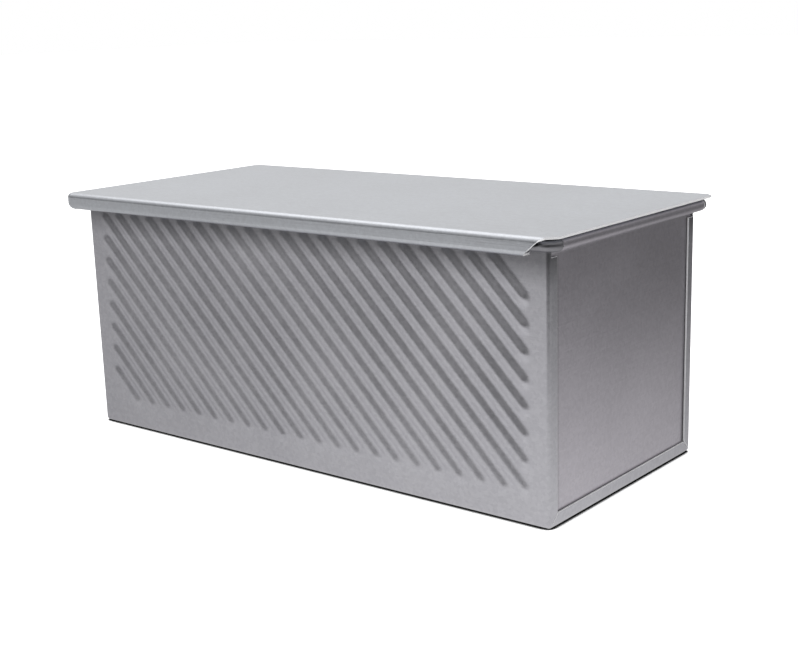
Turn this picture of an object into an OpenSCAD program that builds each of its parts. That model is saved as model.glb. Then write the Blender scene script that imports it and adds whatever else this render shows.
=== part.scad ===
// Pullman loaf pan: a folded sheet-metal tin for square sandwich loaves, with a
// lid that slides along the rolled rim. The pan's length lies along X, its base
// stands on the XY plane, and the origin is the centre of the base.

/* [Pan] */
// Length of the pan over the tabs at its two ends
pan_l = 236; // [160:1:420]
// Width of the pan over its long walls
pan_w = 104; // [80:1:160]
// Height of the top of the rim above the base
rim_h = 102; // [75:1:150]
// Thickness of the sheet that the pan is folded from
sheet_t = 0.7; // [0.5:0.1:0.9]
// Outer radius of the folds between the base and the walls
fold_r = 1.5; // [1.3:0.1:3]
// Outer radius of the upright folds at the four corners
corner_r = 1.5; // [1.3:0.1:3]

/* [End seams] */
// Width of the tabs that fold over the edges of each end panel
tab_w = 5; // [4:0.5:10]
// Width of the slit where two tabs meet in a mitre
mitre_w = 0.4; // [0.2:0.1:1]
// Clearance between the edge of an end panel and the fold that it seats in
seat_gap = 0.1; // [0.05:0.05:0.2]

/* [Rolled rim] */
// Diameter of the steel wire inside the rim
wire_d = 3; // [2:0.5:5]
// Clearance between the wire and the sheet that is rolled round it
wire_gap = 0.1; // [0.05:0.05:0.2]
// Reach of the rim beyond the outer face of the wall
rim_out = 4.8; // [4.2:0.1:7]
// Angle by which the wall leans outwards below the rim
flare_a = 28; // [22:1:35]
// Inner radius of the bend where the wall starts to lean out
flare_r = 6; // [4:0.5:8]
// Gap between the free edge of the roll and the leaning wall
curl_gap = 0.25; // [0.15:0.05:0.5]
// Gap between the rolled corners and the rolled edge of an end panel
seam_gap = 0.3; // [0.2:0.1:0.6]

/* [Ribs] */
// Distance between ribs, measured square to them
rib_pitch = 6.85; // [6:0.05:12]
// Width of a rib at its foot
rib_w = 5.4; // [3:0.1:5.8]
// Height of a rib above the wall
rib_h = 1.1; // [0.6:0.1:1.4]
// Downward slope of the ribs towards their right-hand ends
rib_a = 45; // [30:1:60]
// Height of the lowest rib tips above the base
rib_low = 8.5; // [6:0.5:25]
// Distance from the top of the rim down to the highest rib tips
rib_drop = 6; // [6:0.5:20]
// Distance from the ends of the pan to the nearest rib tips
rib_side = 7.5; // [5:0.5:20]

/* [Lid] */
// Thickness of the lid sheet
lid_t = 0.8; // [0.5:0.1:1]
// Outer radius of the bends along the lid's edges
bend_r = 2; // [1.5:0.1:2.5]
// Clearance between the lid plate and the top of the rim
top_gap = 0.3; // [0.2:0.1:0.6]
// Clearance between a lid channel and the side of the rim
side_gap = 2; // [0.4:0.1:2.2]
// Clearance between the lid's lips and the underside of the rim
lip_gap = 0.4; // [0.3:0.1:0.8]
// Distance from the wall's outer face to the free edge of a lip
lip_reach = 2.2; // [1.8:0.1:3]
// Clearance between the closed lid's stop and the rim
stop_gap = 1; // [0.4:0.1:3]
// Reach of the closed lid past the rim at its open end
end_reach = 0.8; // [0:0.1:3]
// Radius of the lid's two corners at the stop
stop_corner_r = 4; // [2.5:0.5:6]
// Radius that rounds the lower ends of the channels at the stop
channel_end_r = 3.5; // [1:0.5:4]
// Length cut off the plate's two corners at the open end
corner_cut = 5; // [2:0.1:12]
// Length over which each channel tapers off at the open end
channel_taper = 8; // [3:0.5:20]

/* [Hidden] */
$fn = 64;
// Overrun of a cutting shape past the face that it cuts
over = 1;

// Rolled rim, in a section plane: u runs outwards from the wall's outer face
roll_in_r = wire_d / 2 + wire_gap;
roll_out_r = roll_in_r + sheet_t;
roll_u = rim_out - roll_out_r;
roll_z = rim_h - roll_out_r;
// Half of the opening left in the roll between its start and its free edge
curl_end_a = acos(-(roll_in_r - curl_gap) / roll_out_r);
// How far the leaning faces lie inside the tangents of the bends, so that the faces
// meet at clean edges
tuck = 0.01;
// Height where a wall whose outer face lies at u starts to lean outwards, to 0.001 mm
function lean_drop(u) =
    (cos(flare_a) * (roll_u - flare_r - u) - roll_in_r + flare_r) / sin(flare_a);
function lean_z(u) = roll_z - round(1000 * lean_drop(u)) / 1000;
side_lean_z = lean_z(0);
// Outer face of an end panel, which seats behind the tabs
end_u = -(sheet_t + seat_gap);
end_lean_z = lean_z(end_u);
tab_top = end_lean_z - seam_gap;
// Half sizes of the plan that the corner folds leave straight
straight_x = pan_l / 2 - corner_r;
straight_y = pan_w / 2 - corner_r;
// The mitre slit crosses the flat part of the tabs and stops short of the folds
mitre_len = (tab_w - max(fold_r, corner_r) - mitre_w) * sqrt(2);

// Ribs: arcs that rise rib_h above the wall
rib_r = (pow(rib_w / 2, 2) + pow(rib_h, 2)) / (2 * rib_h);
rib_top = rim_h - rib_drop;
rib_mid_z = (rib_low + rib_top) / 2;
rib_half_z = (rib_top - rib_low - rib_w) / 2;
rib_half_x = pan_l / 2 - rib_side - rib_w / 2;
rib_step = rib_pitch / sin(rib_a);
rib_count = ceil((rib_half_x + rib_half_z / tan(rib_a)) / rib_step);

// Lid
lid_out = rim_out + side_gap + lid_t;
lid_half_w = pan_w / 2 + lid_out;
lid_top = rim_h + top_gap + lid_t;
lid_low = rim_h - 2 * roll_out_r - lip_gap - lid_t;
lid_stop_x = -(pan_l / 2 + rim_out + stop_gap + lid_t);
lid_open_x = pan_l / 2 + rim_out + end_reach;

// A flat outline of the given size with four round corners, centred
module round_rect(size_x, size_y, r) {
    square([size_x - 2 * r, size_y], center = true);
    square([size_x, size_y - 2 * r], center = true);
    for (sx = [-1, 1], sy = [-1, 1])
        translate([sx * (size_x / 2 - r), sy * (size_y / 2 - r)])
            circle(r);
}

// A flat outline standing on y = 0 with round lower corners
module round_foot(size_x, size_y, r) {
    translate([-size_x / 2, r])
        square([size_x, size_y - r]);
    translate([-size_x / 2 + r, 0])
        square([size_x - 2 * r, size_y - r]);
    for (sx = [-1, 1])
        translate([sx * (size_x / 2 - r), r])
            circle(r);
}

// Extrudes a (y, z) outline along X, centred
module along_x(length) {
    rotate([90, 0, 90])
        linear_extrude(length, center = true)
            children();
}

// Extrudes an (x, z) outline along Y, centred
module along_y(length) {
    rotate([90, 0, 0])
        linear_extrude(length, center = true)
            children();
}

// The pan's block, taken in by inset on every face, up to the height top
module pan_block(inset, top) {
    long = pan_l - 2 * inset;
    wide = pan_w - 2 * inset;
    intersection() {
        translate([0, 0, inset])
            linear_extrude(top - inset)
                round_rect(long, wide, corner_r - inset);
        translate([0, 0, inset])
            along_x(long + 2 * over)
                round_foot(wide, top - inset, fold_r - inset);
        translate([0, 0, inset])
            along_y(wide + 2 * over)
                round_foot(long, top - inset, fold_r - inset);
    }
}

// A flat wedge between two angles, long enough to cut a circle of radius r
module wedge(from_a, to_a, r) {
    mid_a = (from_a + to_a) / 2;
    far = 2 * r;
    polygon([[0, 0], far * [cos(from_a), sin(from_a)], far * [cos(mid_a), sin(mid_a)],
             far * [cos(to_a), sin(to_a)]]);
}

// Everything that the sheet of the rim leaves on the wire's side, grown by grow
// across the sheet. The middle of the wire is at [0, 0], and wall_u is the wall's
// outer face.
module wire_side(wall_u, grow) {
    bend = [wall_u + flare_r - roll_u, lean_z(wall_u) - roll_z];
    side = [cos(flare_a), -sin(flare_a)];
    translate(bend)
        circle(flare_r + grow);
    circle(roll_in_r + grow);
    polygon([bend, bend - (flare_r + grow - tuck) * side, -(roll_in_r + grow - tuck) * side,
             [0, 0]]);
    translate([bend.x - flare_r - grow, bend.y - 2 * flare_r])
        square([flare_r + grow, 2 * flare_r]);
}

// Section of the rim over a wall whose outer face lies at wall_u: a foot inside the
// wall, the bend, the leaning stretch and the roll round the wire
module rim_section(wall_u) {
    bend = [wall_u + flare_r - roll_u, lean_z(wall_u) - roll_z];
    far = 4 * roll_out_r;
    translate([roll_u, roll_z]) {
        intersection() {
            difference() {
                wire_side(wall_u, sheet_t);
                wire_side(wall_u, 0);
            }
            polygon([[0, 0], [bend.x, bend.y], [bend.x, bend.y - 2 * flare_r],
                     [-far, bend.y - 2 * flare_r], [-far, roll_out_r], [0, roll_out_r]]);
        }
        difference() {
            circle(roll_out_r);
            circle(roll_in_r);
            wedge(180 - flare_a, 360 - flare_a - curl_end_a, roll_out_r);
        }
    }
}

// Runs the rim section along a straight wall that faces +X with its face at face_x
module straight_rim(face_x, wall_u, half_len) {
    translate([face_x, 0, 0])
        rotate([90, 0, 0])
            linear_extrude(2 * half_len, center = true)
                rim_section(wall_u);
}

// Turns the rim section round one corner, from the wall facing +X to that facing +Y
module corner_rim() {
    translate([straight_x, straight_y, 0])
        rotate_extrude(angle = 90)
            translate([corner_r, 0])
                rim_section(0);
}

// One rib: a rod with round ends on the line between two points of the wall
module rib_rod(from_x, from_z, length, r) {
    translate([from_x, 0, from_z])
        rotate([0, 90 + rib_a, 0]) {
            cylinder(r = r, h = length);
            sphere(r);
            translate([0, 0, length])
                sphere(r);
        }
}

// All ribs of the wall that faces -Y, as rods of radius r whose axes lie inside it
module rib_rods(r) {
    translate([0, -pan_w / 2 + rib_r - rib_h, 0])
        for (k = [-rib_count : rib_count]) {
            middle = k * rib_step;
            from = max(-rib_half_z / sin(rib_a), (-rib_half_x - middle) / cos(rib_a));
            to = min(rib_half_z / sin(rib_a), (rib_half_x - middle) / cos(rib_a));
            if (to - from > rib_w / 2)
                rib_rod(middle + from * cos(rib_a), rib_mid_z - from * sin(rib_a),
                        to - from, r);
        }
}

// What the ribs of the wall that faces -Y add outside its face
module rib_crests() {
    intersection() {
        rib_rods(rib_r);
        translate([-pan_l / 2, -pan_w / 2 - rib_h - over, 0])
            cube([pan_l, rib_h + over + sheet_t / 2, rim_h]);
    }
}

// The folded sheet without its ribs: base, two long walls, end tabs and rim
module plain_wrapper() {
    difference() {
        pan_block(0, side_lean_z);
        pan_block(sheet_t, side_lean_z + over);
        // Windows that leave a tab along three edges of each end
        for (sx = [-1, 1]) {
            translate([sx * pan_l / 2, 0, tab_w + rim_h / 2])
                cube([2 * corner_r, pan_w - 2 * tab_w, rim_h], center = true);
            translate([sx * pan_l / 2, 0, tab_top + rim_h / 2])
                cube([2 * corner_r, 2 * straight_y, rim_h], center = true);
            for (sy = [-1, 1])
                translate([sx * pan_l / 2, sy * (pan_w / 2 - tab_w), tab_w])
                    rotate([sy * 45, 0, 0])
                        translate([0, 0, (over - mitre_len) / 2])
                            cube([2 * corner_r, mitre_w, mitre_len + over], center = true);
        }
    }
    for (turn = [90, 270])
        rotate([0, 0, turn])
            straight_rim(pan_w / 2, 0, straight_x);
    for (mirror_x = [0, 1], mirror_y = [0, 1])
        mirror([mirror_x, 0, 0])
            mirror([0, mirror_y, 0])
                corner_rim();
}

module pan_wrapper() {
    color("#9b9a9d")
        difference() {
            union() {
                plain_wrapper();
                for (side = [0, 180])
                    rotate([0, 0, side])
                        rib_crests();
            }
            for (side = [0, 180])
                rotate([0, 0, side])
                    rib_rods(rib_r - sheet_t);
        }
}

// The sheet that closes the end facing +X, seated behind the tabs
module end_panel() {
    color("#8f8d93") {
        intersection() {
            pan_block(-end_u, end_lean_z);
            translate([pan_l / 2 + end_u - sheet_t, -pan_w / 2, 0])
                cube([sheet_t + over, pan_w, end_lean_z]);
        }
        straight_rim(pan_l / 2, end_u, straight_y - seam_gap);
    }
}

module end_panel_right() {
    end_panel();
}

module end_panel_left() {
    rotate([0, 0, 180])
        end_panel();
}

// The wire that stiffens the rim, one closed loop
module rim_wire() {
    color("#7d7f82")
        translate([0, 0, roll_z])
            for (side = [0, 180])
                rotate([0, 0, side]) {
                    translate([straight_x, straight_y, 0])
                        rotate_extrude(angle = 90)
                            translate([corner_r + roll_u, 0])
                                circle(d = wire_d);
                    translate([straight_x, -straight_y, 0])
                        rotate([0, 0, -90])
                            rotate_extrude(angle = 90)
                                translate([corner_r + roll_u, 0])
                                    circle(d = wire_d);
                    translate([pan_l / 2 + roll_u, 0, 0])
                        rotate([90, 0, 0])
                            cylinder(d = wire_d, h = 2 * straight_y, center = true);
                    translate([0, pan_w / 2 + roll_u, 0])
                        rotate([0, 90, 0])
                            cylinder(d = wire_d, h = 2 * straight_x, center = true);
                }
}

// The lid's block, taken in by inset, open past the end at open_x
module lid_block(inset, open_x) {
    start_x = lid_stop_x + inset;
    long = open_x - start_x;
    wide = 2 * (lid_half_w - inset);
    high = lid_top - lid_low - 2 * inset;
    edge_r = bend_r - inset;
    plan_r = stop_corner_r - inset;
    mid_z = (lid_top + lid_low) / 2;
    intersection() {
        translate([start_x + long / 2, 0, mid_z])
            along_x(long)
                round_rect(wide, high, edge_r);
        // The bend between the plate and the stop
        translate([start_x, 0, mid_z])
            along_y(wide) {
                translate([edge_r, -high / 2])
                    square([long - edge_r, high]);
                translate([0, -high / 2])
                    square([long, high - edge_r]);
                translate([edge_r, high / 2 - edge_r])
                    circle(edge_r);
            }
        translate([0, 0, lid_low])
            linear_extrude(lid_top - lid_low) {
                translate([start_x + plan_r, -wide / 2])
                    square([long - plan_r, wide]);
                translate([start_x, -wide / 2 + plan_r])
                    square([long, wide - 2 * plan_r]);
                for (sy = [-1, 1])
                    translate([start_x + plan_r, sy * (wide / 2 - plan_r)])
                        circle(plan_r);
            }
    }
}

// Outline, seen from the side, of what is cut off both ends of a channel
module channel_ends() {
    // The slanting cut at the open end
    polygon([[lid_open_x - corner_cut, lid_top - lid_t],
             [lid_open_x - corner_cut - channel_taper, lid_low - over],
             [lid_open_x + over, lid_low - over],
             [lid_open_x + over, lid_top - lid_t]]);
    // The rounded lower corner at the stop
    difference() {
        translate([lid_stop_x - over, lid_low - over])
            square([channel_end_r + over, channel_end_r + over]);
        translate([lid_stop_x + channel_end_r, lid_low + channel_end_r])
            circle(channel_end_r);
    }
}

module lid() {
    lip_y = pan_w / 2 + lip_reach;
    color("#c4c5c9")
        difference() {
            lid_block(0, lid_open_x);
            lid_block(lid_t, lid_open_x + over);
            // The gap between the two lips
            translate([lid_stop_x + lid_t, -lip_y, lid_low - over])
                cube([pan_l + 2 * lid_out, 2 * lip_y, lid_t + 2 * over]);
            // The corners of the plate at the open end
            for (sy = [-1, 1])
                translate([lid_open_x, sy * lid_half_w, lid_top])
                    rotate([0, 0, 45])
                        cube([corner_cut * sqrt(2), corner_cut * sqrt(2),
                              4 * (lid_top - lid_low)], center = true);
            for (sy = [-1, 1])
                translate([0, sy * (lip_y + lid_out / 2), 0])
                    along_y(lid_out)
                        channel_ends();
        }
}

pan_wrapper();
end_panel_left();
end_panel_right();
rim_wire();
lid();
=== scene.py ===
# %% [markdown]
# This lesson dresses a pullman loaf pan: a folded steel tin with diagonal ribs on
# its long walls, a rim rolled round a wire, and a flat lid that slides along that
# rim. The CAD model gives the outer sizes and the motion. Each step below remakes one
# piece of sheet as a fine mesh at the same place, and lets it ride on its CAD body.

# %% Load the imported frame
import math
from functools import partial
import bmesh
import bpy
from mathutils import Matrix, Vector


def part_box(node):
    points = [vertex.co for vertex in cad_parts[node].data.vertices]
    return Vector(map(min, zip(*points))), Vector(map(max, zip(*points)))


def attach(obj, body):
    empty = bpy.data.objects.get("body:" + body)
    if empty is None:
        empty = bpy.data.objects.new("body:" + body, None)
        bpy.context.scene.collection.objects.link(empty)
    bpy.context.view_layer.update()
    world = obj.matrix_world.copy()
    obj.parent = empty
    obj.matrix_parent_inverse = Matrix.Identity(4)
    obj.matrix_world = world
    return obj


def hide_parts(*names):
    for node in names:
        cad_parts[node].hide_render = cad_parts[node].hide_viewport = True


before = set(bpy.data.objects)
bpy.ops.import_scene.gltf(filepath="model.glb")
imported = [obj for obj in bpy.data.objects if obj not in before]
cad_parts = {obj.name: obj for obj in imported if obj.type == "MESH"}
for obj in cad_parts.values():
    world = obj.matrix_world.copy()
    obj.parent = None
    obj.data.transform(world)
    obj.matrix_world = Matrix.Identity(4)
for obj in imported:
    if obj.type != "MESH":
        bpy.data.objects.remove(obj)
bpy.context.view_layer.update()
scene = bpy.context.scene
print("CAD nodes:", ", ".join(sorted(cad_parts)))

# %% [markdown]
# All sizes are the pan's own, in millimetres as on a drawing, and one factor turns
# them into metres. Outer sizes are read from the CAD nodes, so the look can't drift
# away from the solids, and the gauge of the sheet, its bends and its clearances are
# typed in. The base lies on z = 0 with its centre at the origin, the long side runs
# along X, and u is the distance outwards from a wall's outer face.

# %% Outer sizes, from the CAD nodes
MM = 0.001
RIM_REACH = 4.8                   # how far the rim stands out from the walls


def node_box(node):
    """Lowest and highest corner of a CAD node in millimetres, to one decimal"""
    return [[round(c / MM, 1) for c in corner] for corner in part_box(node)]


rim_x, rim_y, RIM_TOP = node_box("pan_wrapper")[1]
HALF_X = round(rim_x - RIM_REACH, 1)      # outer faces of the ends
HALF_Y = round(rim_y - RIM_REACH, 1)      # outer faces of the long walls
(LID_STOP, _, LID_LOW), (LID_END, LID_HALF_Y, LID_TOP) = node_box("lid")
print(f"pan {2 * HALF_X} x {2 * HALF_Y} mm, rim top at {RIM_TOP}, lid top at {LID_TOP}")

# %% Sizes of the sheet, the folds and the rim
SHEET = 0.7                       # gauge of the pan's sheet
FOLD_R = 1.5                      # folds along the base and up the corners
FLAT_X, FLAT_Y = HALF_X - FOLD_R, HALF_Y - FOLD_R
TAB = 5                           # tabs that hold the end panels
SLIT = 0.4                        # mitre slit between two tabs
SEAT_GAP, WIRE_GAP = 0.1, 0.1     # clearance behind the tabs, and round the wire
SEAM_GAP = 0.3                    # between the pan's own rim and that of an end panel
PANEL_U = -SHEET - SEAT_GAP       # outer face of an end panel, just behind its tabs
WIRE_R = 1.5
ROLL_IN_R = WIRE_R + WIRE_GAP     # inside of the roll round the wire
ROLL_OUT_R = ROLL_IN_R + SHEET
ROLL_U = RIM_REACH - ROLL_OUT_R   # middle of the wire, outwards and up
ROLL_Z = RIM_TOP - ROLL_OUT_R
LEAN = math.radians(28)           # lean of the wall below the rim
LEAN_R = 6                        # bend where the lean starts
CURL_GAP = 0.25                   # left between the roll's free edge and the wall
print(f"sheet {SHEET} mm, wire {2 * WIRE_R} mm, roll {2 * ROLL_OUT_R:.1f} mm across")

# %% [markdown]
# Materials come before the pieces that wear them. A material is a tree of nodes. One
# small function adds any node, sets it, links it and gives the output that the next
# node reads, so each line names the node it adds and what goes into it.

# %% The helper for nodes
MATH, VECTOR_MATH = "ShaderNodeMath", "ShaderNodeVectorMath"
MAP_RANGE, MIX = "ShaderNodeMapRange", "ShaderNodeMix"
SPLIT, COMBINE = "ShaderNodeSeparateXYZ", "ShaderNodeCombineXYZ"


def add_node(tree, kind, inputs=(), output=0, **settings):
    """Adds a node, sets it, and fills or links its inputs

    It gives the output that is asked for, or all of them where that is None."""
    node = tree.nodes.new(kind)
    for name, value in settings.items():
        setattr(node, name, value)
    for name, value in inputs.items() if isinstance(inputs, dict) else enumerate(inputs):
        if isinstance(value, bpy.types.NodeSocket):
            tree.links.new(value, node.inputs[name])
        else:
            node.inputs[name].default_value = value
    return node.outputs if output is None else node.outputs[output]


print("short names for", MATH, VECTOR_MATH, MAP_RANGE, MIX, SPLIT, "and", COMBINE)


# %% Helpers for materials
def linear(hex_colour):
    """sRGB hex to the linear colour that Blender mixes in"""
    parts = [int(hex_colour[i:i + 2], 16) / 255 for i in (1, 3, 5)]
    return [p / 12.92 if p <= 0.04045 else ((p + 0.055) / 1.055) ** 2.4
            for p in parts] + [1]


def empty_material(name):
    """A new material and its tree, with no nodes in it yet"""
    material = bpy.data.materials.new(name)
    material.use_nodes = True
    material.node_tree.nodes.clear()
    return material, material.node_tree


print("mid grey #808080 is", round(linear("#808080")[0], 3), "in linear light")

# %% [markdown]
# The pan is aluminised steel: a satin grey metal with a very fine rolling grain, a
# faint frosty spangle, and soft cloudy marks from handling. A picture of steel would
# have to be stretched over the ribs and bends. So each mark is a small procedural
# pattern in Object coordinates with a real size in millimetres, and together they
# vary the colour, the roughness and the bump of one metal shader. The real grain is
# finer than a pixel, so it is drawn half a millimetre wide, as coarse as it needs to
# be to show.

# %% Marks on the steel
CLOUD_SIZE = 45                   # marks from handling
SPANGLE_SIZE = 1.1                # frosty crystals of the aluminium skin
GRAIN_W = 0.5                     # width of a rolling mark
SPANGLE_SHARE, GRAIN_SHARE = 0.32, 0.35   # of the tone, next to the clouds
MARKS_LOW, MARKS_HIGH = 0.3, 0.7  # most of the soft marks stay between these
ADDED_LOW, ADDED_HIGH = 0.12, 0.55        # least and most that spangle and grain add
SHEEN_CLOUDS, SHEEN_SPANGLE = 0.05, 0.03  # how far each shifts the roughness
SPANGLE_HEIGHT = 0.15             # in the bump, next to the grain


def soft_marks(tree, place, size, roughness=0.5):
    """Soft marks between 0 and 1 that measure size millimetres along X, Y and Z"""
    stretched = add_node(tree, VECTOR_MATH, [place, [1 / (s * MM) for s in size]],
                         operation="MULTIPLY")
    return add_node(tree, "ShaderNodeTexNoise", {
        "Vector": stretched, "Scale": 1, "Detail": 3, "Roughness": roughness})


print(f"clouds {CLOUD_SIZE} mm, spangle {SPANGLE_SIZE} mm, grain {GRAIN_W} mm wide")


# %% The satin steel
def satin_steel(name, dark, light, rough, grain, cloudy=0.9, grain_bump=0.05,
                paint_shade=None):
    """Satin steel between a dark and a light tone

    Grain is the size of its rolling marks along X, Y and Z, grain_bump their depth in
    millimetres, and cloudy the strength of its clouds. Paint_shade is a function that gives
    the share of its brightness that is left at a place, where shade is painted into the
    colour."""
    material, tree = empty_material(name)
    node = partial(add_node, tree)
    place = node("ShaderNodeTexCoord", output="Object")
    clouds = soft_marks(tree, place, [CLOUD_SIZE] * 3)
    crystals = node("ShaderNodeTexVoronoi", {
        "Vector": place, "Scale": 1 / (SPANGLE_SIZE * MM), "Randomness": 1.0}, "Color")
    spangle = node("ShaderNodeSeparateColor", [crystals])
    rolling = soft_marks(tree, place, grain, 0.6)
    # Colour: clouds over the whole sheet, then a little of the spangle and the grain
    tone = node(MATH, [clouds, cloudy], operation="MULTIPLY")
    for marks, share in ((spangle, SPANGLE_SHARE), (rolling, GRAIN_SHARE)):
        tone = node(MATH, [marks, share, tone], operation="MULTIPLY_ADD")
    # Most of the tone lies between these, which are stretched to the whole blend
    low, high = MARKS_LOW * cloudy + ADDED_LOW, MARKS_HIGH * cloudy + ADDED_HIGH
    blend = node(MAP_RANGE, [tone, low, high, 0, 1])
    colour = node(MIX, {"Factor": blend, "A": linear(dark), "B": linear(light)},
                  "Result", data_type="RGBA")
    # Painted shade darkens the colour by the share that the given function leaves
    if paint_shade:
        colour = node(VECTOR_MATH, {0: colour, "Scale": paint_shade(tree, place)},
                      operation="SCALE")
    # Roughness follows the clouds and the spangle, bump the grain and the spangle
    spread = SHEEN_CLOUDS * cloudy
    sheen = node(MAP_RANGE, [clouds, MARKS_LOW, MARKS_HIGH, rough - spread,
                             rough + spread])
    sheen = node(MATH, [spangle, SHEEN_SPANGLE, sheen], operation="MULTIPLY_ADD")
    height = node(MATH, [spangle, SPANGLE_HEIGHT, rolling], operation="MULTIPLY_ADD")
    bump = node("ShaderNodeBump", {
        "Height": height, "Strength": 0.6, "Distance": grain_bump * MM})
    shader = node("ShaderNodeBsdfPrincipled", {
        "Base Color": colour, "Metallic": 1.0, "Roughness": sheen, "Normal": bump})
    node("ShaderNodeOutputMaterial", {"Surface": shader}, None)
    return material


lid_steel = satin_steel("aluminised steel of the lid", "#bfc1c6", "#ced1d6", 0.3,
                        (40, GRAIN_W, GRAIN_W), cloudy=0.3)
wire_steel = satin_steel("drawn steel wire", "#7c7d80", "#97989b", 0.3, (4, 4, 4),
                         grain_bump=0.02)
print("evenly satin:", lid_steel.name, "and", wire_steel.name)

# %% [markdown]
# Painted shade darkens the wall up under the lid's channel, whose overhang shades it, and
# darkens an end panel beside the edges of its tabs, where the seam lies in shade. Such marks
# could be painted on by hand. Working them out from the place on the piece instead keeps them
# at their real height and width, whatever the mesh.

# %% Painted shade under the lid and along the tabs
LID_SHADE_LOW, LID_SHADE_HIGH = 85, 94        # painted shade darkens the wall between these heights
LID_SHADE_LEFT = 0.5                    # share of its brightness that is left above them
SEAM_SHADE_NEAR, SEAM_SHADE_FAR = 0.5, 2.4  # painted shade is darkest up to the first, in from a tab's edge
SEAM_SHADE_LOSS = 0.4                  # share of its brightness that is lost there
SEAM_SHADE_BASE = 2.5                  # the painted shade along the base is narrower by this factor
SEAM_SHADE_TOP = 95                   # the panel's rim above this height gets no painted shade
PANEL_MIDDLE = HALF_X + PANEL_U - SHEET / 2       # between the panel's two faces


def painted_shade_under_lid(tree, place):
    """Painted shade under the lid: the share of a wall's brightness that is left, from its
    height
    """
    height = add_node(tree, SPLIT, [place], "Z")
    return add_node(tree, MAP_RANGE, [height, LID_SHADE_LOW * MM, LID_SHADE_HIGH * MM, 1, LID_SHADE_LEFT])


def painted_shade_along_tabs(tree, place):
    """Painted shade at the seams: the share of an end panel's brightness that is left, next
    to the edges of the tabs
    """
    node = partial(add_node, tree)
    x, y, z = node(SPLIT, [place], None)
    x_out, y_out = (node(MATH, [c], operation="ABSOLUTE") for c in (x, y))
    from_sides = node(MATH, [(HALF_Y - TAB) * MM, y_out], operation="SUBTRACT")
    from_base = node(MATH, [z, TAB * MM], operation="SUBTRACT")
    from_base = node(MATH, [from_base, SEAM_SHADE_BASE], operation="MULTIPLY")
    nearest = node(MATH, [from_sides, from_base], operation="MINIMUM")
    loss = node(MAP_RANGE, [nearest, SEAM_SHADE_NEAR * MM, SEAM_SHADE_FAR * MM, -SEAM_SHADE_LOSS, 0])
    # The painted shade lies only on the panel's outer face, below its rim
    outside = node(MATH, [x_out, PANEL_MIDDLE * MM], operation="GREATER_THAN")
    below_rim = node(MATH, [z, SEAM_SHADE_TOP * MM], operation="LESS_THAN")
    shaded = node(MATH, [outside, below_rim], operation="MULTIPLY")
    return node(MATH, [shaded, loss, 1], operation="MULTIPLY_ADD")


# The pan's steel carries painted shade under the lid's channel
wall_steel = satin_steel("aluminised steel of the pan", "#b1b0b6", "#cbcacf", 0.33,
                         (30, GRAIN_W, GRAIN_W), paint_shade=painted_shade_under_lid)
# The ends' steel carries painted shade beside the edges of the tabs
end_steel = satin_steel("aluminised steel of the ends", "#b1adb4", "#c9c5cc", 0.32,
                        (GRAIN_W, 30, GRAIN_W), paint_shade=painted_shade_along_tabs)
# Both of these carry painted shade
print("rubbed in places:", wall_steel.name, "and", end_steel.name)

# %% [markdown]
# The shear that cuts the sheet leaves its edge torn and matt, without the aluminium
# skin. It scatters light instead of mirroring it, so the lid's end and the tabs read
# as pale lines. The satin steel would mirror the dark room there, so the edge gets a
# shader of its own, partly metallic and rough, with a fine torn bump.

# %% The cut edge of the sheet
TORN_SIZE = 0.3                   # grit of the torn edge


def cut_steel():
    """Torn steel without its aluminium skin, between light and white grey"""
    material, tree = empty_material("bare cut edge of the steel")
    node = partial(add_node, tree)
    place = node("ShaderNodeTexCoord", output="Object")
    torn = soft_marks(tree, place, [TORN_SIZE] * 3, 0.6)
    tone = node(MIX, {"Factor": torn, "A": linear("#c9c9cb"), "B": linear("#f0f0f2")},
                "Result", data_type="RGBA")
    bump = node("ShaderNodeBump", {
        "Height": torn, "Strength": 0.5, "Distance": 0.05 * MM})
    shader = node("ShaderNodeBsdfPrincipled", {
        "Base Color": tone, "Metallic": 0.3, "Normal": bump,
        "Roughness": node(MAP_RANGE, [torn, MARKS_LOW, MARKS_HIGH, 0.5, 0.65])})
    node("ShaderNodeOutputMaterial", {"Surface": shader}, None)
    return material


cut_edge = cut_steel()
print("materials:", ", ".join(sorted(m.name for m in bpy.data.materials)))

# %% [markdown]
# The ribs are pressed into both long walls in one stroke, so they repeat exactly.
# They could be modelled one by one and joined, but their field follows a rule, and a
# Geometry Nodes tree suits that: it lays a fine grid, lifts it by a height that
# depends only on the distance to the nearest rib's middle line, stands it up as the
# front wall, and copies it half a turn round as the back wall. The height is a
# cosine hump, because pressed sheet has soft shoulders and no sharp foot.

# %% Sizes of the ribs
RIB_PITCH = 6.85                  # measured square to the ribs
RIB_W = 6.7                       # over the soft shoulders
RIB_H = 0.85                      # a low relief keeps both flanks in one tone each
RIB_SLOPE = math.radians(45)
RIB_LOW, RIB_HIGH = 8.5, 96       # lowest and highest rib tips
RIB_REACH = HALF_X - 7.5          # rib tips nearest the ends
BORDER = 0.5                      # flat sheet round the tips that belongs to the field
FIELD_X, FIELD_LOW, FIELD_HIGH = RIB_REACH + BORDER, RIB_LOW - BORDER, RIB_HIGH + BORDER
CELL = 0.95                       # of the grid, as fine as the triangle limit allows
columns = round(2 * FIELD_X / CELL)
rows = round((FIELD_HIGH - FIELD_LOW) / CELL)
print(f"rib field: {columns} x {rows} cells of {CELL} mm on each long wall")


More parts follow.
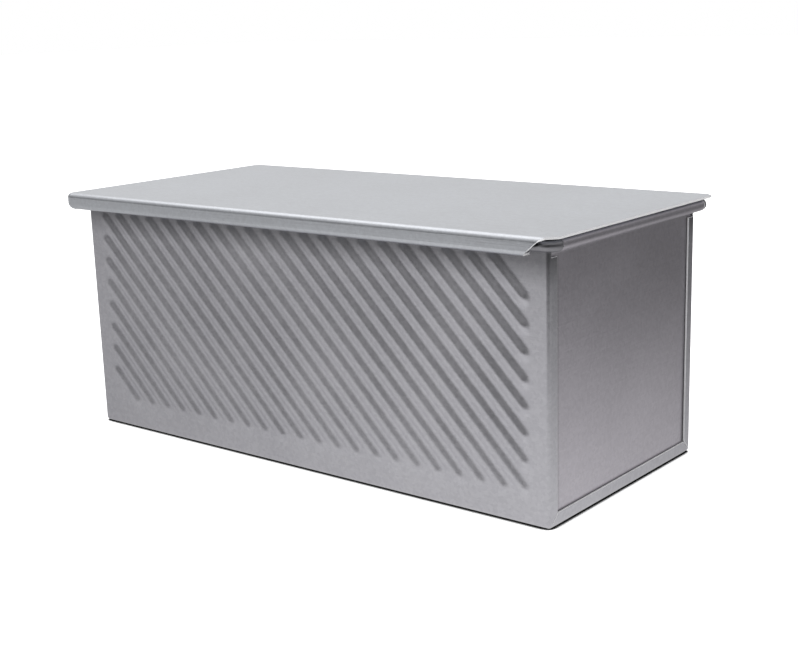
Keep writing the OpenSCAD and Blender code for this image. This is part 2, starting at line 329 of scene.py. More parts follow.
# %% Where the nearest rib is
def nearest_rib(tree, given):
    """Four outputs: how far beside the nearest rib's line each grid point lies, how far
    along that line, and where along it the rib starts and ends"""
    node = partial(add_node, tree)
    x, y, _ = node(SPLIT, [node("GeometryNodeInputPosition")], None)
    cosine, sine = (node(MATH, [given["Slope"]], operation=f) for f in ("COSINE", "SINE"))
    up = node(MATH, [y, cosine], operation="MULTIPLY")
    across = node(MATH, [x, sine, up], operation="MULTIPLY_ADD")
    number = node(MATH, [across, given["Pitch"]], operation="DIVIDE")
    number = node(MATH, [number], operation="ROUND")
    nearest = node(MATH, [number, given["Pitch"]], operation="MULTIPLY")
    beside = node(MATH, [across, nearest], operation="SUBTRACT")
    # The rib crosses the field's middle height here, and is measured from there
    middle = node(MATH, [nearest, sine], operation="DIVIDE")
    level = node(MATH, [x, middle], operation="SUBTRACT")
    level = node(MATH, [level, cosine], operation="MULTIPLY")
    fall = node(MATH, [y, sine], operation="MULTIPLY")
    along = node(MATH, [level, fall], operation="SUBTRACT")
    # It ends at the field's top or bottom, or at its left or right, whichever is nearer
    rise = node(MATH, [given["Half Rise"], sine], operation="DIVIDE")
    ends = []
    for side, nearer in ((-1, "MAXIMUM"), (1, "MINIMUM")):
        by_height = node(MATH, [rise, side], operation="MULTIPLY")
        by_length = node(MATH, [given["Half Reach"], side], operation="MULTIPLY")
        by_length = node(MATH, [by_length, middle], operation="SUBTRACT")
        by_length = node(MATH, [by_length, cosine], operation="DIVIDE")
        ends.append(node(MATH, [by_height, by_length], operation=nearer))
    return beside, along, *ends


print(f"ribs slope {math.degrees(RIB_SLOPE):.0f} degrees, {RIB_PITCH} mm apart")


# %% How high the sheet is pressed
def rib_height(tree, given):
    """Height of the pressed sheet at each grid point, as an output"""
    node = partial(add_node, tree)
    beside, along, start, end = nearest_rib(tree, given)
    before = node(MATH, [start, along], operation="SUBTRACT")
    after = node(MATH, [along, end], operation="SUBTRACT")
    past = node(MATH, [before, after], operation="MAXIMUM")
    past = node(MATH, [past, 0], operation="MAXIMUM")
    # Distance to the rib's middle line, whose two end points make the round tips
    away = node(VECTOR_MATH, [node(COMBINE, [beside, past])], "Value", operation="LENGTH")
    half = node(MATH, [given["Rib Width"], 2], operation="DIVIDE")
    turn = node(MAP_RANGE, [away, 0, half, 0, math.pi])
    hump = node(MATH, [turn], operation="COSINE")
    hump = node(MATH, [hump, 0.5, 0.5], operation="MULTIPLY_ADD")
    # A rib that would be a mere dimple in a corner of the field is left out
    length = node(MATH, [end, start], operation="SUBTRACT")
    long_enough = node(MATH, [length, half], operation="GREATER_THAN")
    height = node(MATH, [hump, given["Rib Height"]], operation="MULTIPLY")
    return node(MATH, [height, long_enough], operation="MULTIPLY")


print(f"each rib is a cosine hump {RIB_H} mm high and {RIB_W} mm wide")


# %% From one flat field to two walls
def both_walls(tree, field, given):
    """The field stood up as the front wall, and again half a turn round"""
    node = partial(add_node, tree)
    out = node(MATH, [given["Wall"], -1], operation="MULTIPLY")
    wall = node(COMBINE, {"Y": out, "Z": given["Middle"]})
    front = node("GeometryNodeTransform", {
        "Geometry": field, "Translation": wall, "Rotation": (math.pi / 2, 0, 0)})
    # Two points at the origin carry a copy each, and the second is turned round
    points = node("GeometryNodeMeshLine", {"Count": 2, "Offset": (0, 0, 0)})
    half_turns = node(MATH, [node("GeometryNodeInputIndex"), math.pi],
                      operation="MULTIPLY")
    facing = node("FunctionNodeEulerToRotation", [node(COMBINE, {"Z": half_turns})])
    walls = node("GeometryNodeInstanceOnPoints", {
        "Points": points, "Instance": front, "Rotation": facing})
    walls = node("GeometryNodeRealizeInstances", {"Geometry": walls})
    return node("GeometryNodeSetMaterial", {
        "Geometry": walls, "Material": given["Material"]})


print("seen from outside, the ribs of both walls slope the same way")

# %% The rib tree
rib_inputs = {
    "Length": 2 * FIELD_X * MM, "Height": (FIELD_HIGH - FIELD_LOW) * MM,
    "Columns": columns + 1, "Rows": rows + 1, "Pitch": RIB_PITCH * MM,
    "Rib Width": RIB_W * MM, "Rib Height": RIB_H * MM, "Slope": RIB_SLOPE,
    "Half Reach": (RIB_REACH - RIB_W / 2) * MM,
    "Half Rise": (RIB_HIGH - RIB_LOW - RIB_W) / 2 * MM,
    "Wall": HALF_Y * MM, "Middle": (RIB_LOW + RIB_HIGH) / 2 * MM, "Material": wall_steel}


def rib_tree():
    """The tree, and the identifier of each named input"""
    tree = bpy.data.node_groups.new("rib_field", "GeometryNodeTree")
    kinds = {int: "NodeSocketInt", float: "NodeSocketFloat"}
    sockets = {}
    for name, value in rib_inputs.items():
        kind = kinds.get(type(value), "NodeSocketMaterial")
        sockets[name] = tree.interface.new_socket(
            name, in_out="INPUT", socket_type=kind).identifier
    tree.interface.new_socket("Geometry", in_out="OUTPUT",
                              socket_type="NodeSocketGeometry")
    node = partial(add_node, tree)
    given = node("NodeGroupInput", output=None)
    grid = node("GeometryNodeMeshGrid", {
        "Size X": given["Length"], "Size Y": given["Height"],
        "Vertices X": given["Columns"], "Vertices Y": given["Rows"]})
    # This splits each cell along the ribs, which keeps their flanks smooth
    grid = node("GeometryNodeTriangulate", {"Mesh": grid}, quad_method="FIXED_ALTERNATE")
    field = node("GeometryNodeSetPosition", {
        "Geometry": grid, "Offset": node(COMBINE, {"Z": rib_height(tree, given)})})
    node("NodeGroupOutput", {"Geometry": both_walls(tree, field, given)}, None)
    return tree, sockets


rib_field, rib_sockets = rib_tree()
print("rib tree:", len(rib_field.nodes), "nodes,", len(rib_sockets), "named inputs")


# %% The ribbed walls as a mesh
def new_object(name, mesh):
    """An object at the origin, so that a mesh made in place stays in place"""
    piece = bpy.data.objects.new(name, mesh)
    scene.collection.objects.link(piece)
    return piece


def apply_modifiers(piece):
    """Keeps the mesh that the modifiers make, and removes them"""
    graph = bpy.context.evaluated_depsgraph_get()
    made = bpy.data.meshes.new_from_object(piece.evaluated_get(graph))
    piece.modifiers.clear()
    piece.data = made


def rib_fields():
    """Both ribbed fields as one mesh, in metres"""
    holder = new_object("rib_fields", bpy.data.meshes.new("rib_fields"))
    ribs = holder.modifiers.new("Ribs", "NODES")
    ribs.node_group = rib_field
    for name, value in rib_inputs.items():
        ribs[rib_sockets[name]] = value
    apply_modifiers(holder)
    mesh = holder.data
    bpy.data.objects.remove(holder)
    return mesh


ribs_mesh = rib_fields()
print(f"rib fields: {len(ribs_mesh.polygons)} faces, "
      f"{max(abs(v.co.y) for v in ribs_mesh.vertices) / MM - HALF_Y:.2f} mm proud")

# %% [markdown]
# One blank of sheet makes the base, both long walls, the tabs at the ends and most
# of the rim. It is modelled as a thin skin, its outer face, because a skin is easy to
# lay out and gets its gauge later. A box with bevels couldn't follow the rolled rim.
# So the skin is built from lines that run up the wall: round the fold at the base, up
# the wall, out along the lean and round the wire. Set side by side along a wall they
# make straight stretches, and turned about a corner's axis they make the round
# corners of the walls and of the rolled rim.

# %% Faces from points
SAME = 0.0005                     # points nearer than this are one point


def distinct(points):
    """The points of a closed outline, without those that lie on the one before"""
    return [p for i, p in enumerate(points) if math.dist(p, points[i - 1]) > SAME]


def face(skin, points):
    """One face through points in millimetres, turning left as seen from outside"""
    return skin.faces.new([skin.verts.new([c * MM for c in p]) for p in points])


def strips(skin, lines):
    """Quads between neighbouring lines of points

    Seen from outside, the lines run upwards and stand side by side to the right."""
    for left, right in zip(lines, lines[1:]):
        for low in range(len(left) - 1):
            corners = distinct([left[low], right[low], right[low + 1], left[low + 1]])
            if len(corners) > 2:
                face(skin, corners)


print("a skin is laid out face by face, or as strips between lines of points")

# %% Lines that run up a wall
FOLD_STEPS, LEAN_STEPS, ROLL_STEPS = 9, 5, 34


def arc(centre, radius, start, end, steps):
    """Points on an arc, angles in radians, both ends included"""
    return [(centre[0] + radius * math.cos(start + (end - start) * i / steps),
             centre[1] + radius * math.sin(start + (end - start) * i / steps))
            for i in range(steps + 1)]


def lean_start(wall_u):
    """Height where a wall with its face at wall_u starts to lean outwards"""
    return ROLL_Z - (math.cos(LEAN) * (ROLL_U - LEAN_R - wall_u) - ROLL_IN_R
                     + LEAN_R) / math.sin(LEAN)


def rim_line(wall_u):
    """(u, z) of the sheet's wire side: the bend, the lean, then round the wire"""
    bend = arc((wall_u + LEAN_R, lean_start(wall_u)), LEAN_R, math.pi,
               math.pi - LEAN, LEAN_STEPS)
    opening = math.acos(-(ROLL_IN_R - CURL_GAP) / ROLL_OUT_R)
    roll = arc((ROLL_U, ROLL_Z), ROLL_IN_R, math.pi - LEAN, -LEAN - opening,
               ROLL_STEPS)
    return bend + roll


fold_line = [(u - FOLD_R, z)
             for u, z in arc((0, FOLD_R), FOLD_R, -math.pi / 2, 0, FOLD_STEPS)]
wall_top = lean_start(0)
panel_top = lean_start(PANEL_U)
tab_top = panel_top - SEAM_GAP    # the tabs stop just below the end panel's lean
print(f"walls lean from {wall_top:.2f} mm, tabs end at {tab_top:.2f} mm")

# %% The folded skin
# X and Y of each corner's axis, and the way that its first wall faces, in degrees
CORNERS = [(FLAT_X, -FLAT_Y, -90), (FLAT_X, FLAT_Y, 0),
           (-FLAT_X, FLAT_Y, 90), (-FLAT_X, -FLAT_Y, 180)]
CORNER_STEPS = 10


def stand(corner, degrees, line):
    """A (u, z) line stood up at a corner's axis, facing the given way"""
    angle = math.radians(corner[2] + degrees)
    return [(corner[0] + (FOLD_R + u) * math.cos(angle),
             corner[1] + (FOLD_R + u) * math.sin(angle), z) for u, z in line]


def folded_skin():
    """The outer face of the whole folded blank"""
    skin = bmesh.new()
    skin.from_mesh(ribs_mesh)
    whole_line = fold_line + [(0, tab_top), (0, wall_top)] + rim_line(0)[1:]
    for corner in CORNERS:
        strips(skin, [stand(corner, 90 * i / CORNER_STEPS, whole_line)
                      for i in range(CORNER_STEPS + 1)])
    # The base, the folds of all four sides, and the rims of the two long ones
    face(skin, [(x, y, 0) for x, y, _ in CORNERS[::-1]])
    for i, corner in enumerate(CORNERS):
        for line in [fold_line] + ([rim_line(0)] if i % 2 == 0 else []):
            strips(skin, [stand(CORNERS[i - 1], 90, line), stand(corner, 0, line)])
    # The flat border of each rib field, and the tabs of each end
    for turn in (1, -1):
        rib_border(skin, turn)
        end_tabs(skin, turn)
    return skin


print(f"{len(CORNERS)} corners in {CORNER_STEPS} steps each")

# %% The flat border round a rib field
NEAR = 0.001                      # a vertex this near to a line or a vertex is on it


def rib_border(skin, turn):
    """Four flat faces between a rib field and the bends round it"""
    edge = {side: [] for side in ("low", "right", "high", "left")}
    for vert in skin.verts:
        x, y, z = (c / MM for c in vert.co)
        in_field = abs(x) < FIELD_X + NEAR and FIELD_LOW - NEAR < z < FIELD_HIGH + NEAR
        if in_field and abs(y * turn + HALF_Y) < NEAR:
            for side, gap in (("low", z - FIELD_LOW), ("high", FIELD_HIGH - z),
                              ("left", FIELD_X + x * turn), ("right", FIELD_X - x * turn)):
                if abs(gap) < NEAR:
                    edge[side].append((x * turn, z, vert))
    inner = {side: [vert for _, _, vert in sorted(found, key=lambda spot: spot[:2])]
             for side, found in edge.items()}
    outline = [(-FLAT_X, FOLD_R), (FLAT_X, FOLD_R), (FLAT_X, tab_top), (FLAT_X, wall_top),
               (-FLAT_X, wall_top), (-FLAT_X, tab_top)]
    ring = [skin.verts.new((x * turn * MM, -HALF_Y * turn * MM, z * MM))
            for x, z in outline]
    skin.faces.new(ring[0:2] + inner["low"][::-1])
    skin.faces.new(ring[1:4] + inner["right"][::-1])
    skin.faces.new(ring[3:5] + inner["high"])
    skin.faces.new([ring[4], ring[5], ring[0]] + inner["left"])


print(f"border {FLAT_X - FIELD_X:.1f} mm wide beside the ribs")


# %% The tabs at the ends
def end_tabs(skin, turn):
    """The tabs of one end: a U of sheet with a mitre slit at each lower corner"""
    inner = HALF_Y - TAB
    # The slit runs down and outwards at 45 degrees: its length and half its width,
    # both as measured along Y and along Z
    run, half = TAB - FOLD_R - SLIT, SLIT / 2 / math.sqrt(2)
    right = [(FLAT_Y, FOLD_R), (FLAT_Y, tab_top), (inner, tab_top), (inner, TAB + 2 * half),
             (inner + run + half, TAB - run + half),
             (inner + run - half, TAB - run - half), (inner - 2 * half, TAB)]
    outline = right + [(-y, z) for y, z in right[::-1]]
    face(skin, [(HALF_X * turn, y * turn, z) for y, z in outline])


pan_skin = folded_skin()
print(f"folded skin: {len(pan_skin.faces)} faces")

# %% [markdown]
# The Solidify modifier thickens a skin inwards by the gauge of the sheet, and gives
# the cut edges their own material. A small bevel takes the razor edge off them, as
# deburring does, and weighted normals keep flat faces flat and bends smooth. The
# modifiers are applied, so each piece ends as a plain mesh that rides and exports as
# it is.

# %% Soft edges and smooth bends
CUT_FROM = math.radians(50)       # a turn sharper than this is a cut edge
BEND_TO = math.radians(38)        # a turn gentler than this is a smooth bend
SLIVER = 0.002                    # a face narrower than this has no area


def skin_object(name, skin, materials):
    """An object that wears the first of its materials all over"""
    mesh = bpy.data.meshes.new(name)
    for facet in skin.faces:
        facet.material_index = 0
    skin.to_mesh(mesh)
    skin.free()
    for material in materials:
        mesh.materials.append(material)
    return new_object(name, mesh)


def soften_edges(piece, width):
    """Bevels the cut edges, in the last material, and shades the bends smooth"""
    bevel = piece.modifiers.new("Soft edges", "BEVEL")
    bevel.width = width * MM
    bevel.segments = 2
    bevel.limit_method = "ANGLE"
    bevel.angle_limit = CUT_FROM
    bevel.material = len(piece.data.materials) - 1
    apply_modifiers(piece)
    # A bevel leaves slivers where the edges run out
    whole = bmesh.new()
    whole.from_mesh(piece.data)
    bmesh.ops.dissolve_degenerate(whole, edges=whole.edges, dist=SLIVER * MM)
    whole.to_mesh(piece.data)
    whole.free()
    piece.data.shade_smooth()
    piece.data.set_sharp_from_angle(angle=BEND_TO)
    weighted = piece.modifiers.new("Even shading", "WEIGHTED_NORMAL")
    weighted.keep_sharp = True
    apply_modifiers(piece)


print(f"cut edges turn by over {math.degrees(CUT_FROM):.0f} degrees")


# %% From a skin to a sheet
def sheet_piece(name, skin, materials, gauge, soft):
    """Thickens a skin, whose faces look outwards, into a sheet with softened edges

    The materials are that of the sheet and that of its cut edges."""
    bmesh.ops.remove_doubles(skin, verts=skin.verts, dist=NEAR * MM)
    open_edges = sum(1 for edge in skin.edges if edge.is_boundary)
    piece = skin_object(name, skin, materials)
    solid = piece.modifiers.new("Sheet", "SOLIDIFY")
    solid.thickness = gauge * MM
    solid.offset = -1
    solid.material_offset_rim = 1
    apply_modifiers(piece)
    soften_edges(piece, soft)
    print(f"{name}: skin with {open_edges} open edges, {gauge} mm thick")
    return piece


pan_sheet = sheet_piece("pan_sheet", pan_skin, [wall_steel, cut_edge],
                        gauge=SHEET, soft=0.19)


# %% The pan's sheet on its body
def count_triangles(piece):
    return sum(len(facet.vertices) - 2 for facet in piece.data.polygons)


def dress(piece, body, node):
    """Gives a finished piece its CAD body and hides the node it stands for"""
    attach(piece, body)
    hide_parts(node)
    print(f"{piece.name}: {count_triangles(piece)} triangles, rides on {body}")


dress(pan_sheet, "pan", "pan_wrapper")

# %% [markdown]
# Each end is a separate pressed panel that sits behind the tabs. Its edges follow
# the inside of the folds, and its top carries its own short length of the rolled
# rim, which closes the ring round the wire. The plate has a round edge that nests in
# the folds, and Solidify would leave that edge square. So the plate and the rim are
# laid out as closed shells, with the inner face as well as the outer one.

# %% The plate of an end panel
PANEL_R = FOLD_R + PANEL_U                # its edge fits inside the folds
PANEL_RIM = FLAT_Y - SEAM_GAP             # half length of the panel's own rim
EDGE_STEPS, FOOT_STEPS = 4, 5


def panel_skin():
    """The plate as a closed shell, but for the strip on top where its rim joins"""
    skin = bmesh.new()
    # Loops round the plate's edge, from its outer face to its inner one
    angle_in = math.acos(max(0, PANEL_R - SHEET) / PANEL_R)
    loops = []
    for i in range(EDGE_STEPS + 1):
        angle = angle_in * i / EDGE_STEPS
        x, r = FLAT_X + PANEL_R * math.cos(angle), PANEL_R * math.sin(angle)
        foot = arc((FLAT_Y, FOLD_R), r, 0, -math.pi / 2, FOOT_STEPS)
        half = [(FLAT_Y + r, panel_top)] + foot
        loops.append([(x, y, z) for y, z in half] + [(x, -y, z) for y, z in half[::-1]])
    # The round edge, then the outer and the inner face
    strips(skin, [list(line) for line in zip(*loops)])
    for loop, order in ((loops[0], 1), (loops[-1], -1)):
        rim = [(loop[0][0], y, panel_top) for y in (PANEL_RIM, -PANEL_RIM)]
        face(skin, (rim + distinct(loop)[::-1])[::order])
    # The top edge on both sides of the rim
    for side in (1, -1):
        top = [(loop[0][0], side * loop[0][1], panel_top) for loop in loops]
        rim = [(loop[0][0], side * PANEL_RIM, panel_top) for loop in (loops[0], loops[-1])]
        face(skin, (top[::-1] + rim)[::side])
    return skin


print(f"end plate {2 * (FLAT_Y + PANEL_R):.1f} mm wide, its rim {2 * PANEL_RIM:.1f} mm long")


# %% The rim of an end panel
def rim_bar(skin):
    """The rolled rim of an end panel as a closed bar along Y"""
    wire_side = rim_line(PANEL_U)
    outer_side = []
    for i, (u, z) in enumerate(wire_side):
        before, after = wire_side[max(i - 1, 0)], wire_side[min(i + 1, len(wire_side) - 1)]
        run = math.dist(before, after)
        # Square to the line, and level where it starts on the plate
        across = ((after[1] - before[1]) / run, (before[0] - after[0]) / run) if i else (1, 0)
        outer_side.append((u - across[0] * SHEET, z - across[1] * SHEET))
    for line, order in ((wire_side, 1), (outer_side, -1)):
        ends = [[(HALF_X + u, y, z) for u, z in line] for y in (-PANEL_RIM, PANEL_RIM)]
        strips(skin, ends[::order])
    for y, order in ((PANEL_RIM, 1), (-PANEL_RIM, -1)):
        lines = [[(HALF_X + u, y, z) for u, z in line] for line in (wire_side, outer_side)]
        strips(skin, lines[::order])
    face(skin, [(HALF_X + line[-1][0], y, line[-1][1])
                for line, y in ((wire_side, -PANEL_RIM), (wire_side, PANEL_RIM),
                                (outer_side, PANEL_RIM), (outer_side, -PANEL_RIM))])


def end_panel(name, turn):
    """Plate and rim of an end panel, made at +X and turned to the end it closes"""
    skin = panel_skin()
    rim_bar(skin)
    bmesh.ops.remove_doubles(skin, verts=skin.verts, dist=NEAR * MM)
    bmesh.ops.rotate(skin, verts=skin.verts, cent=(0, 0, 0),
                     matrix=Matrix.Rotation(turn, 3, "Z"))
    bmesh.ops.recalc_face_normals(skin, faces=skin.faces)
    open_edges = sum(1 for edge in skin.edges if not edge.is_manifold)
    piece = skin_object(name, skin, [end_steel])
    soften_edges(piece, width=0.12)
    print(f"{name}: {open_edges} edges that don't join two faces")
    return piece


for name, turn in (("end_sheet_right", 0), ("end_sheet_left", math.pi)):
    dress(end_panel(name, turn), "pan", name.replace("sheet", "panel"))

# %% [markdown]
# The wire is a plain ring inside the roll, so only a hair of it shows at the seams.
# It could be swept along a curve again, but the CAD node already has that shape. So
# it stays as it is, in drawn steel, which is darker and smoother than the sheet.

# %% The rim wire
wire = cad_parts["rim_wire"]
wire.data.materials.clear()
wire.data.materials.append(wire_steel)
print("rim_wire keeps its CAD mesh,", count_triangles(wire), "triangles")

# %% [markdown]
# The lid is one plate whose long edges are folded down and in again, which makes the
# channels that hug the rim, and whose left end is folded down as the stop. A swept
# profile alone couldn't turn from the channel into the stop. Again lines run over its
# edge from the plate downwards. They stand side by side along the channels, turn
# round the two corners, and go on along the stop, where the channel's lower bend and
# lip fade away.

# %% Sizes of the lid
LID_T = 0.8                       # gauge of the lid's sheet
BEND_R = 2                        # bends at the top and the bottom of the channel
BEND_STEPS = 8
LIP_Y = HALF_Y + 2.2              # free edge of the channel's lip
STOP_R = 4                        # corner seen from above
STOP_ROUND = 3.5                  # lower corner of the stop, seen from the side
STOP_STEPS, ROUND_STEPS = 12, 6
CORNER_CUT = 5                    # cut off the plate's two corners at the open end
TAPER = 8                         # how far back the channel's end slants
print(f"lid {LID_END - LID_STOP:.1f} mm long, {2 * LID_HALF_Y:.1f} mm over its channels")


# %% Lines over the edge of the lid
def lid_line(change):
    """(reach outwards from the corner's axis, z) from the plate to the free edge

    Change goes from 0, the channel, to 1, the stop."""
    turn = math.pi / 2 * (1 - change) ** 2
    lip = (LID_HALF_Y - BEND_R - LIP_Y) * max(0, 1 - 3 * change)
    bend_u = STOP_R - BEND_R
    top = arc((bend_u, LID_TOP - BEND_R), BEND_R, math.pi / 2, 0, BEND_STEPS)
    low_z = LID_LOW + BEND_R + (STOP_ROUND - BEND_R) * change
    low = arc((bend_u, low_z), BEND_R, 0, -turn, BEND_STEPS)
    tip = (low[-1][0] - lip * math.sin(turn), low[-1][1] - lip * math.cos(turn))
    return top + low + [tip]


def channel_end(y, z):
    """X of the slanting free end of the plate and the channel at (y, z)"""
    plan = LID_END - max(0, abs(y) - (LID_HALF_Y - CORNER_CUT))
    if z > LID_TOP - LID_T or abs(y) < LIP_Y - NEAR:
        return plan
    # From 0 at the plate to nearly 1 at the lip
    slope = (LID_TOP - LID_T - z) / (LID_TOP - LID_T - LID_LOW + 1)
    return min(plan, LID_END - CORNER_CUT - TAPER * slope)


print(f"{len(lid_line(0))} points in each line over the lid's edge")


# %% The lid's skin
def lid_skin():
    """The upper and outer face of the whole folded lid"""
    axis_x, axis_y = LID_STOP + STOP_R, LID_HALF_Y - STOP_R
    # Down the channel at +Y, round its corner, along the stop, and back at -Y
    lines = [[(channel_end(axis_y + u, z), axis_y + u, z) for u, z in lid_line(0)]]
    for i in range(STOP_STEPS + 1):
        angle = math.pi / 2 * (1 + i / STOP_STEPS)
        lines.append([(axis_x + u * math.cos(angle), axis_y + u * math.sin(angle), z)
                      for u, z in lid_line(i / STOP_STEPS)])
    # Below its top bend, the stop rounds down from the corner to its full depth
    for i in range(1, ROUND_STEPS + 1):
        angle = math.pi / 2 * i / ROUND_STEPS
        y = axis_y - STOP_ROUND * (1 - math.cos(angle))
        drop = STOP_ROUND * math.sin(angle)
        lines.append([(axis_x - u, y, z - drop * (k > BEND_STEPS))
                      for k, (u, z) in enumerate(lid_line(1))])
    lines += [[(x, -y, z) for x, y, z in line] for line in lines[::-1]]
    skin = bmesh.new()
    strips(skin, [line[::-1] for line in lines])
    # The plate, with its two corners cut off at the open end
    cut = LID_HALF_Y - CORNER_CUT
    face(skin, distinct([line[0] for line in lines])
         + [(LID_END, -cut, LID_TOP), (LID_END, cut, LID_TOP)])
    return skin


lid_sheet = sheet_piece("lid_sheet", lid_skin(), [lid_steel, cut_edge],
                        gauge=LID_T, soft=0.3)
dress(lid_sheet, "lid", "lid")

# %% [markdown]
# The stage is a plain white floor, bright enough to burn out. Its paper also gives
# off a little light of its own, which keeps the pan's shadow short, and an occlusion
# node darkens the last millimetres before the base into a thin line. The steel doesn't
# mirror this paper: a second, unseen disc, made with the light, stands for what the
# steel sees there.

# %% The floor
CONTACT = 4                       # the paper darkens this near to the base
STAGE_R = 6                       # metres from the pan to the edge of the stage


def white_paper():
    """Matt white paper that glows a little, but not where the pan stands on it"""
    material, tree = empty_material("white paper")
    node = partial(add_node, tree)
    openness = node("ShaderNodeAmbientOcclusion", {"Distance": CONTACT * MM}, "AO",
                    samples=16)
    # 0 where the pan hides half of what the paper faces, 1 where it hides under a third
    open_floor = node(MAP_RANGE, [openness, 0.5, 0.7, 0, 1])
    shader = node("ShaderNodeBsdfPrincipled", {
        "Base Color": node(MATH, [open_floor, 0.9], operation="MULTIPLY"),
        "Roughness": 0.8, "Specular IOR Level": 0.1, "Emission Color": (1, 1, 1, 1),
        "Emission Strength": node(MATH, [open_floor, 0.8], operation="MULTIPLY")})
    node("ShaderNodeOutputMaterial", {"Surface": shader}, None)
    return material


def sheet_on_floor(name, outline, depth, material):
    """One flat face, just far enough under the pan's base to stay clear of it"""
    mesh = bpy.data.meshes.new(name)
    mesh.from_pydata([(x, y, 0) for x, y in outline], [], [range(len(outline))])
    mesh.materials.append(material)
    sheet = new_object(name, mesh)
    sheet.location.z = -depth * MM
    return sheet


square = [(x * STAGE_R, y * STAGE_R) for x, y in ((-1, -1), (1, -1), (1, 1), (-1, 1))]
floor = sheet_on_floor("floor", square, 0.2, white_paper())
floor.visible_glossy = False
print(f"white paper, {2 * STAGE_R} m square")

# %% [markdown]
# The camera stands where the photograph's stood: its direction, distance and lens
# were fitted to the pan's corners. A Track To constraint would keep it level, so its
# matrix is built from three axes instead, which allows a slight roll.

# %% The camera
# The way from the pan back to the camera: round from -Y towards +X, and up
BACK_AZ, BACK_EL = math.radians(39.01), math.radians(13.54)
ROLL = math.radians(-1.72)
LOOK_AT = Vector((12.21, 0, 45.36)) * MM
DISTANCE = 555 * MM
back = Vector((math.sin(BACK_AZ) * math.cos(BACK_EL),
               -math.cos(BACK_AZ) * math.cos(BACK_EL), math.sin(BACK_EL)))
right = Vector((math.cos(BACK_AZ), math.sin(BACK_AZ), 0))
up = back.cross(right)
turned_right = math.cos(ROLL) * right + math.sin(ROLL) * up
turned_up = -math.sin(ROLL) * right + math.cos(ROLL) * up
spot = LOOK_AT + back * DISTANCE
camera = new_object("camera", bpy.data.cameras.new("camera"))
camera.matrix_world = Matrix.Translation(spot) @ Matrix(
    (turned_right, turned_up, back)).transposed().to_4x4()
camera.data.sensor_fit = "HORIZONTAL"
camera.data.sensor_width = 36
camera.data.lens = 60.51
camera.data.shift_x = -0.0019
camera.data.shift_y = 0.0095
camera.data.clip_start = 0.01
scene.camera = camera
print("camera at", [round(c, 3) for c in spot])

# %% [markdown]
# Satin steel shows its surroundings, so the room is half of the finish. Many lamps
# could shape it, but a world whose brightness depends on the direction does the same
# without their noise. A pale screen stands behind the pan, where the lid mirrors it.
# The walls of the room are dark, which shades the upper side of each rib, and darkest
# in front of the near corner, for its round fold. The ceiling is pale. A softbox
# hangs overhead, and the floor that the steel mirrors fades with distance.

# %% The room
scene.view_settings.view_transform = "Standard"
TO_SCREEN = (-0.62, 0.78, 0)
TO_NEAR_CORNER = (0.61, -0.76, 0.22)
UPWARDS = (0, 0, 1)


def fade(tree, place, way, start, end, before, after):
    """Brightness that goes from before to after as a place gets from start to end

    The place is measured along the given way. Where it is a direction instead, 1 is
    straight along it."""
    along = add_node(tree, VECTOR_MATH, [place, way], "Value", operation="DOT_PRODUCT")
    return add_node(tree, MAP_RANGE, [along, start, end, before, after])


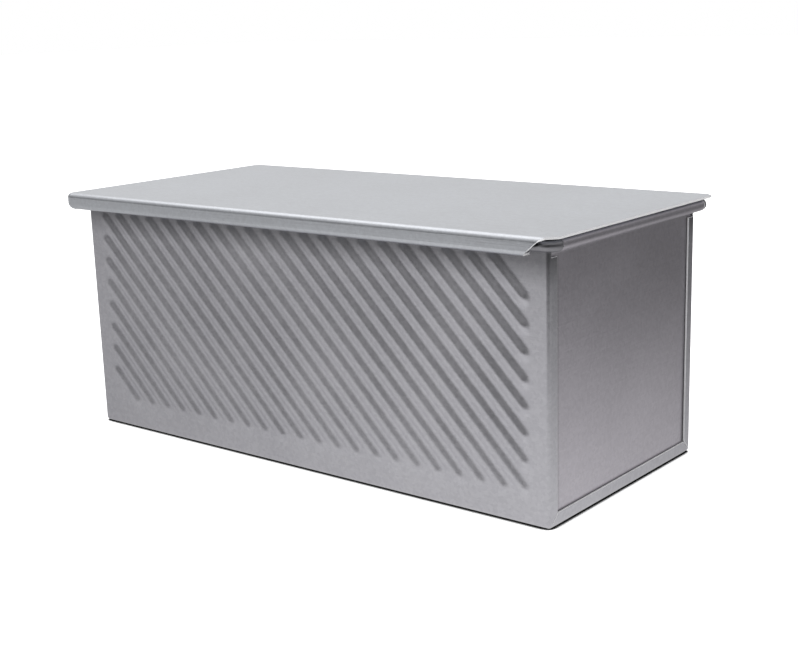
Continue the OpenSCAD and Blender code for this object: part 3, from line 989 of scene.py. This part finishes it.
def studio_room():
    """The room around the pan as a world, its brightness set by direction"""
    world = bpy.data.worlds.new("studio")
    world.use_nodes = True
    world.node_tree.nodes.clear()
    node = partial(add_node, world.node_tree)
    way = node("ShaderNodeTexCoord", output="Generated")
    shine = partial(fade, world.node_tree, way)
    screen = shine(TO_SCREEN, start=0.6, end=0.88, before=0.25, after=0.69)
    ceiling = shine(UPWARDS, start=0.2, end=0.6, before=0, after=0.55)
    room = node(MATH, [screen, ceiling], operation="ADD")
    # Dark in front of the near corner, but not high up
    corner = shine(TO_NEAR_CORNER, start=0.7, end=0.92, before=1, after=0.04)
    high_up = shine(UPWARDS, start=0.15, end=0.35, before=0, after=1)
    shade = node(MATH, [corner, high_up], operation="MAXIMUM")
    glow = node(MATH, [room, shade], operation="MULTIPLY")
    # The camera itself sees plain white behind the floor
    seen = node("ShaderNodeLightPath", output="Is Camera Ray")
    strength = node(MIX, {"Factor": seen, "A": glow, "B": 1.0}, "Result",
                    data_type="FLOAT")
    backdrop = node("ShaderNodeBackground", {"Color": (1, 1, 1, 1), "Strength": strength})
    node("ShaderNodeOutputWorld", {"Surface": backdrop}, None)
    return world


scene.world = studio_room()
print("pale screen towards", TO_SCREEN, "and dark room towards", TO_NEAR_CORNER)

# %% The softbox
# Its size and its place are in metres
softbox = new_object("softbox", bpy.data.lights.new("softbox", "AREA"))
softbox.data.shape = "RECTANGLE"
softbox.data.size = 2.0
softbox.data.size_y = 1.2
softbox.data.energy = 6
softbox.location = (-0.45, 0.1, 1.2)
print("one softbox over the pan,", softbox.data.energy, "W")

# %% The floor as the steel sees it
PAST_END = (0.61, 0.76, 0)
PAST_NEAR_CORNER = (0.62, -0.78, 0)
TO_RIGHT = (1, -0.75, 0)


def mirrored_floor():
    """A glow that stands for the floor as the steel mirrors it"""
    material, tree = empty_material("floor seen in the steel")
    node = partial(add_node, tree)
    shine = partial(fade, tree, node("ShaderNodeTexCoord", output="Object"))
    past_end = shine(PAST_END, start=0.02, end=0.42, before=0.74, after=0.22)
    past_corner = shine(PAST_NEAR_CORNER, start=0.28, end=0.42, before=1, after=0.05)
    pale = node(MATH, [past_end, past_corner], operation="MULTIPLY")
    to_right = shine(TO_RIGHT, start=-0.06, end=0.18, before=0.82, after=1.2)
    pale = node(MATH, [pale, to_right], operation="MULTIPLY")
    emit = node("ShaderNodeEmission", {"Color": (1, 1, 1, 1), "Strength": pale})
    node("ShaderNodeOutputMaterial", {"Surface": emit}, None)
    return material


DISC_SIDES = 48
angles = [2 * math.pi * i / DISC_SIDES for i in range(DISC_SIDES)]
disc = [(STAGE_R * math.cos(angle), STAGE_R * math.sin(angle)) for angle in angles]
pool = sheet_on_floor("floor_glow", disc, 0.1, mirrored_floor())
pool.visible_camera = False
pool.visible_diffuse = False
pool.visible_shadow = False
print("the mirrored floor fades past the right end and past the near corner")
